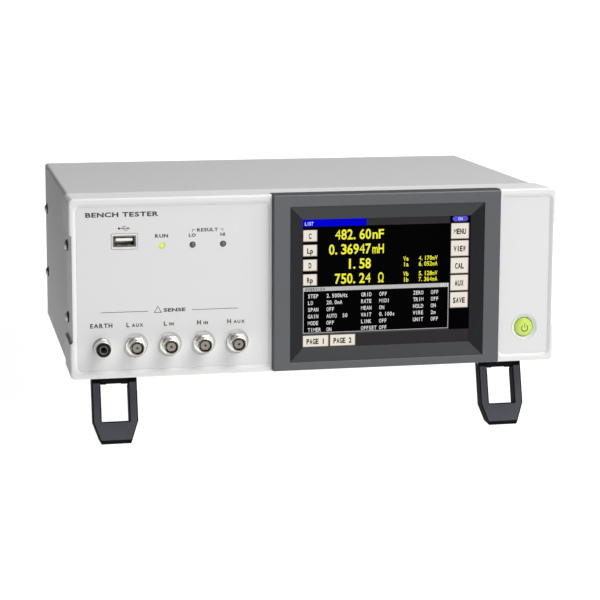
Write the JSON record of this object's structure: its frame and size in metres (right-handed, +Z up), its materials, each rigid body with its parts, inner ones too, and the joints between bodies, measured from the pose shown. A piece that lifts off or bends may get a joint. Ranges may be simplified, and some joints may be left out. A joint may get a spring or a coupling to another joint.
{
  "type": "lcr meter",
  "caption": "Bench LCR meter with a colour touch display, coaxial test terminals, a guard jack, a lit power button and flip-down stands under a leaning sheet-metal case.",
  "frame": {"origin": "on the bench under the middle of the object's box, with the stands open and the case leaning back as it stands in use", "axes": "+X across the front from the terminals towards the power button, +Y from the front panel to the rear panel, +Z up"},
  "size_m": [0.3306, 0.2558, 0.1668],
  "materials": {
    "light_plastic": "fine satin moulding",
    "printed_sheet": "matt printed sheet",
    "dark_plastic": "satin moulding",
    "black_plastic": "satin moulding",
    "stand_plastic": "satin moulding",
    "painted_steel": "fine textured powder coat",
    "zinc_steel": "zinc plated sheet",
    "nickel": "nickel plating",
    "screw_steel": "satin plating",
    "dielectric": "satin insulator",
    "screen_glass": "glossy touch surface",
    "screen_face": "lit picture elements",
    "lit_button": "lit translucent cap",
    "lit_lens": "lit lens",
    "grey_lens": "unlit lens",
    "white_plastic": "satin moulding",
    "circuit_board": "solder mask",
    "foot_rubber": "matt rubber",
    "print_ink": "screen-printed ink"
  },
  "bodies": {
    "body": {"front_panel": "light_plastic", "panel_sheet_left": "printed_sheet", "panel_sheet_right": "printed_sheet", "display_bezel": "dark_plastic", "touch_panel": "screen_glass", "lcd_module": "zinc_steel", "lcd_bracket": "zinc_steel", "power_switch": "black_plastic", "usb_a_shell": "nickel", "usb_a_tongue": "white_plastic", "status_led_1": "lit_lens", "status_led_2": "grey_lens", "status_led_3": "grey_lens", "guard_jack_body": "nickel", "guard_jack_insulator": "black_plastic", "top_cover": "painted_steel", "bottom_chassis": "zinc_steel", "rear_panel": "painted_steel", "rear_foot_left": "foot_rubber", "rear_foot_right": "foot_rubber", "main_board": "circuit_board", "analog_shield": "zinc_steel", "control_board": "circuit_board", "power_supply": "zinc_steel", "fan_frame": "black_plastic", "ac_inlet": "black_plastic", "mains_switch_housing": "black_plastic", "option_slot_plate": "painted_steel", "handler_io_port": "nickel", "usb_b_port": "nickel", "bnc_shell_1": "nickel", "bnc_insulator_1": "dielectric", "bnc_nut_1": "nickel", "bnc_shell_2": "nickel", "bnc_insulator_2": "dielectric", "bnc_nut_2": "nickel", "bnc_shell_3": "nickel", "bnc_insulator_3": "dielectric", "bnc_nut_3": "nickel", "bnc_shell_4": "nickel", "bnc_insulator_4": "dielectric", "bnc_nut_4": "nickel", "side_screw_left_front_lower": "screw_steel", "side_screw_left_front_upper": "screw_steel", "side_screw_left_rear_lower": "screw_steel", "side_screw_left_rear_upper": "screw_steel", "side_screw_right_front_lower": "screw_steel", "side_screw_right_front_upper": "screw_steel", "side_screw_right_rear_lower": "screw_steel", "side_screw_right_rear_upper": "screw_steel", "stand_base_left": "black_plastic", "stand_pin_left": "zinc_steel", "stand_base_right": "black_plastic", "stand_pin_right": "zinc_steel"},
    "tilt_stand_left": {"tilt_stand_left": "stand_plastic"},
    "tilt_stand_right": {"tilt_stand_right": "stand_plastic"},
    "power_button": {"power_button": "lit_button"},
    "mains_rocker": {"mains_rocker": "black_plastic"},
    "fan_rotor": {"fan_rotor": "black_plastic"}
  },
  "joints": [
    {"name": "left_stand_fold", "type": "hinge", "parent": "body", "child": "tilt_stand_left", "pos_m": [-0.1345, -0.09311, 0.03807], "axis": [1, 0, 0], "range_deg": [0, 105]},
    {"name": "right_stand_fold", "type": "hinge", "parent": "body", "child": "tilt_stand_right", "pos_m": [0.1345, -0.09311, 0.03807], "axis": [1, 0, 0], "range_deg": [0, 105]},
    {"name": "power_button_press", "type": "slide", "parent": "body", "child": "power_button", "axis": [0, 0.9811, -0.1936], "range_m": [0, 0.0015], "stiffness_N_per_m": 400},
    {"name": "mains_rocker_tip", "type": "hinge", "parent": "body", "child": "mains_rocker", "pos_m": [0.118, 0.11327, 0.06481], "axis": [1, 0, 0], "range_deg": [-18, 0]},
    {"name": "fan_spin", "type": "hinge", "parent": "body", "child": "fan_rotor", "pos_m": [0.052, 0.10552, 0.06838], "axis": [0, 0.9811, -0.1936], "continuous": true}
  ]
}
